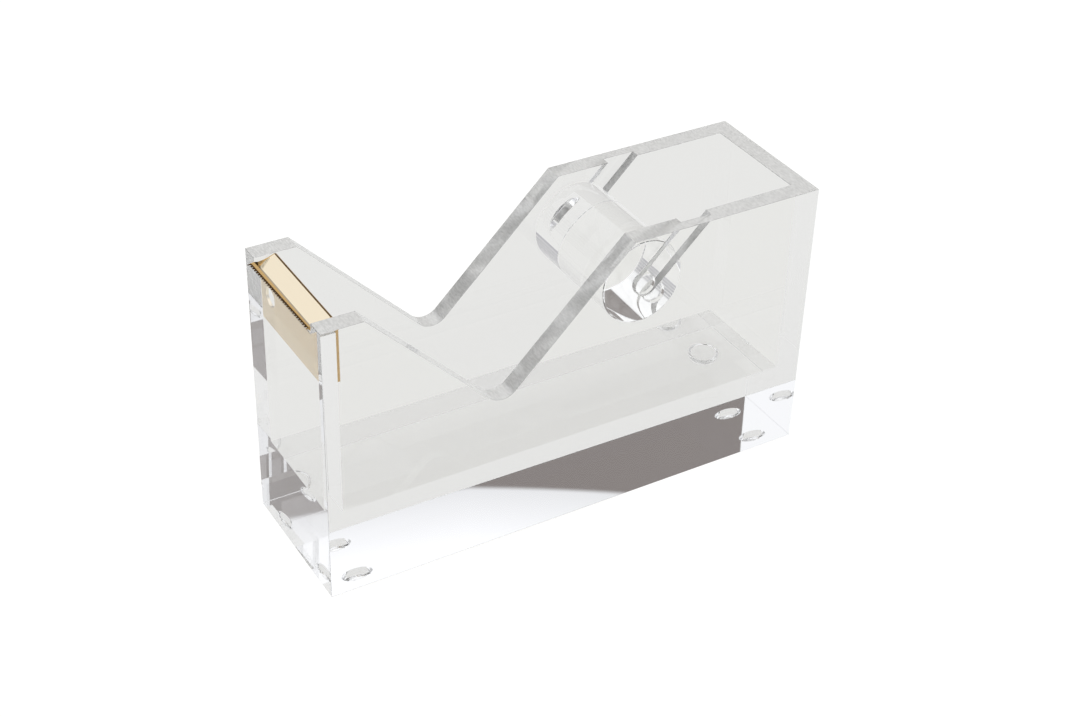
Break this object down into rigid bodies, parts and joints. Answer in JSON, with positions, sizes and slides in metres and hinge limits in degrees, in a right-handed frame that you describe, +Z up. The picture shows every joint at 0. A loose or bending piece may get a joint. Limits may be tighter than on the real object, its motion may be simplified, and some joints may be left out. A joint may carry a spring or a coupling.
{
  "type": "tape dispenser",
  "caption": "Clear acrylic desk tape dispenser: solid block base, notched side panels, gold serrated cutter and a lift-out clear hub.",
  "frame": {"origin": "on the desk surface, under the middle of the whole object's length and width", "axes": "+X from the cutter end to the hub end, +Y to the left of someone who faces the cutter from the front, +Z up"},
  "size_m": [0.1518, 0.045, 0.0862],
  "materials": {
    "clear_acrylic": "polished, clear",
    "gold_plated_steel": "polished gold plating",
    "clear_silicone": "soft, clear"
  },
  "bodies": {
    "dispenser": {"base_block": "clear_acrylic", "left_side_panel": "clear_acrylic", "right_side_panel": "clear_acrylic", "front_panel": "clear_acrylic", "back_panel": "clear_acrylic", "cutter": "gold_plated_steel", "front_left_foot": "clear_silicone", "front_right_foot": "clear_silicone", "rear_left_foot": "clear_silicone", "rear_right_foot": "clear_silicone"},
    "hub_pins": {"left_hub_pin": "clear_acrylic", "right_hub_pin": "clear_acrylic"},
    "hub": {"tape_hub": "clear_acrylic"}
  },
  "joints": [
    {"name": "hub_lift", "type": "slide", "parent": "dispenser", "child": "hub_pins", "axis": [0.7071, 0, 0.7071], "range_m": [0, 0.045]},
    {"name": "hub_spin", "type": "hinge", "parent": "hub_pins", "child": "hub", "pos_m": [0.02165, 0, 0.0705], "axis": [0, 1, 0], "continuous": true}
  ]
}
